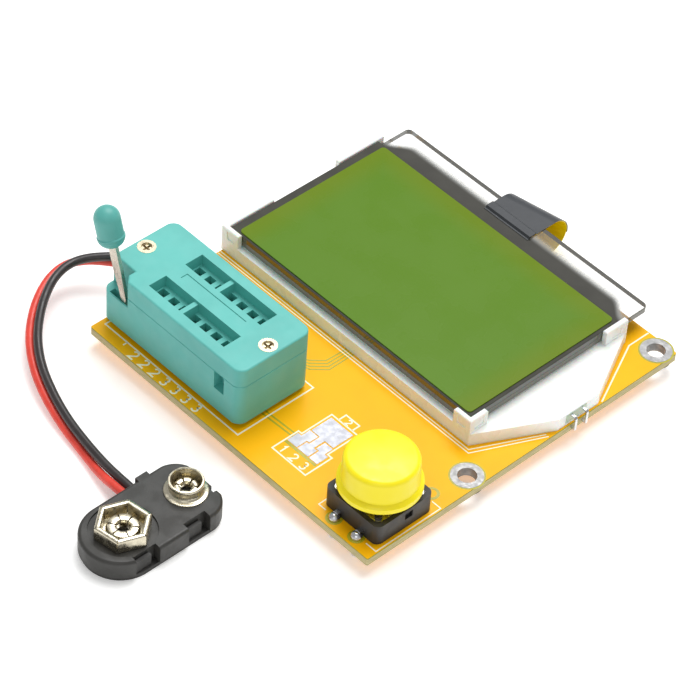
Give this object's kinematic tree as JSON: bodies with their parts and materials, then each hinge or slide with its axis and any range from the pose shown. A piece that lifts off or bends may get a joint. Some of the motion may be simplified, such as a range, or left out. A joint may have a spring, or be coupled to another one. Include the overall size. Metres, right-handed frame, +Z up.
{
  "type": "component tester",
  "caption": "Bare-board electronic component tester with a lever test socket, backlit glass display, push button and a 9 V battery clip with two leads.",
  "frame": {"origin": "centre of the tester's footprint on the surface that it stands on, without the battery leads and snap", "axes": "+X along the board's front edge from the socket to the button, +Y from the socket to the display, +Z up out of the board"},
  "size_m": [0.0802, 0.1074, 0.0278],
  "materials": {
    "circuit_board": "glossy yellow-orange solder mask on glass epoxy",
    "hole_plating": "hot-air levelled solder",
    "test_pads": "tinned copper",
    "light_guide": "white translucent acrylic",
    "edge_light": "milky light-emitting diode",
    "edge_light_leads": "tinned lead wire",
    "diffuser_film": "white film",
    "rear_polariser": "grey-green film",
    "rear_glass": "polished soda glass",
    "front_glass": "polished soda glass",
    "front_polariser": "yellow-green anti-glare film",
    "driver_chip": "bare silicon",
    "flex_tail": "amber polyimide film",
    "cover_tape": "black tape",
    "flex_connector": "ivory nylon",
    "socket_base": "teal moulded plastic",
    "socket_cover": "teal moulded plastic",
    "socket_screws": "nickelled brass",
    "contact_slider": "teal moulded plastic",
    "socket_contacts": "plated phosphor bronze",
    "socket_lever": "nickel-plated steel",
    "lever_knob": "teal moulded plastic",
    "switch_base": "black thermoplastic",
    "switch_plate": "stamped steel",
    "contact_dome": "spring steel",
    "switch_stem": "black thermoplastic",
    "button_cap": "satin yellow plastic",
    "switch_terminals": "tinned brass",
    "solder_joints": "solder",
    "lead_ends": "tinned wire and solder",
    "microcontroller": "black epoxy",
    "microcontroller_leads": "tinned leads",
    "voltage_regulator": "black epoxy with tinned leads",
    "crystal": "metal lid",
    "transistors": "black epoxy with tinned leads",
    "chip_resistors": "glazed ceramic",
    "chip_capacitors": "tan ceramic",
    "snap_shell": "black moulded vinyl",
    "snap_plate": "black moulded vinyl",
    "hex_contact": "nickel-plated steel",
    "stud_contact": "nickel-plated steel",
    "black_lead": "black vinyl insulation",
    "red_lead": "red vinyl insulation"
  },
  "bodies": {
    "board": {"circuit_board": "circuit_board", "hole_plating": "hole_plating", "test_pads": "test_pads", "light_guide": "light_guide", "edge_light": "edge_light", "edge_light_leads": "edge_light_leads", "diffuser_film": "diffuser_film", "rear_polariser": "rear_polariser", "rear_glass": "rear_glass", "front_glass": "front_glass", "front_polariser": "front_polariser", "driver_chip": "driver_chip", "flex_tail": "flex_tail", "cover_tape": "cover_tape", "flex_connector": "flex_connector", "socket_base": "socket_base", "socket_cover": "socket_cover", "socket_screws": "socket_screws", "socket_contacts": "socket_contacts", "switch_base": "switch_base", "switch_plate": "switch_plate", "contact_dome": "contact_dome", "switch_terminals": "switch_terminals", "solder_joints": "solder_joints", "lead_ends": "lead_ends", "microcontroller": "microcontroller", "microcontroller_leads": "microcontroller_leads", "voltage_regulator": "voltage_regulator", "crystal": "crystal", "transistors": "transistors", "chip_resistors": "chip_resistors", "chip_capacitors": "chip_capacitors", "snap_shell": "snap_shell", "snap_plate": "snap_plate", "hex_contact": "hex_contact", "stud_contact": "stud_contact", "black_lead": "black_lead", "red_lead": "red_lead"},
    "lever": {"socket_lever": "socket_lever", "lever_knob": "lever_knob"},
    "slider": {"contact_slider": "contact_slider"},
    "button": {"button_cap": "button_cap", "switch_stem": "switch_stem"}
  },
  "joints": [
    {"name": "lever_swing", "type": "hinge", "parent": "board", "child": "lever", "pos_m": [-0.02734, -0.03439, 0.0103], "axis": [0, 1, 0], "range_deg": [-51, 5]},
    {"name": "slider_shift", "type": "slide", "parent": "board", "child": "slider", "axis": [1, 0, 0], "range_m": [-0.000686, 0.0000672]},
    {"name": "button_press", "type": "slide", "parent": "board", "child": "button", "axis": [0, 0, 1], "range_m": [-0.0003, 0], "stiffness_N_per_m": 5000, "springref_m": 0.0002}
  ],
  "couplings": [
    {"joint": "lever_swing", "follows": "slider_shift", "rad_per_m": 1297}
  ]
}
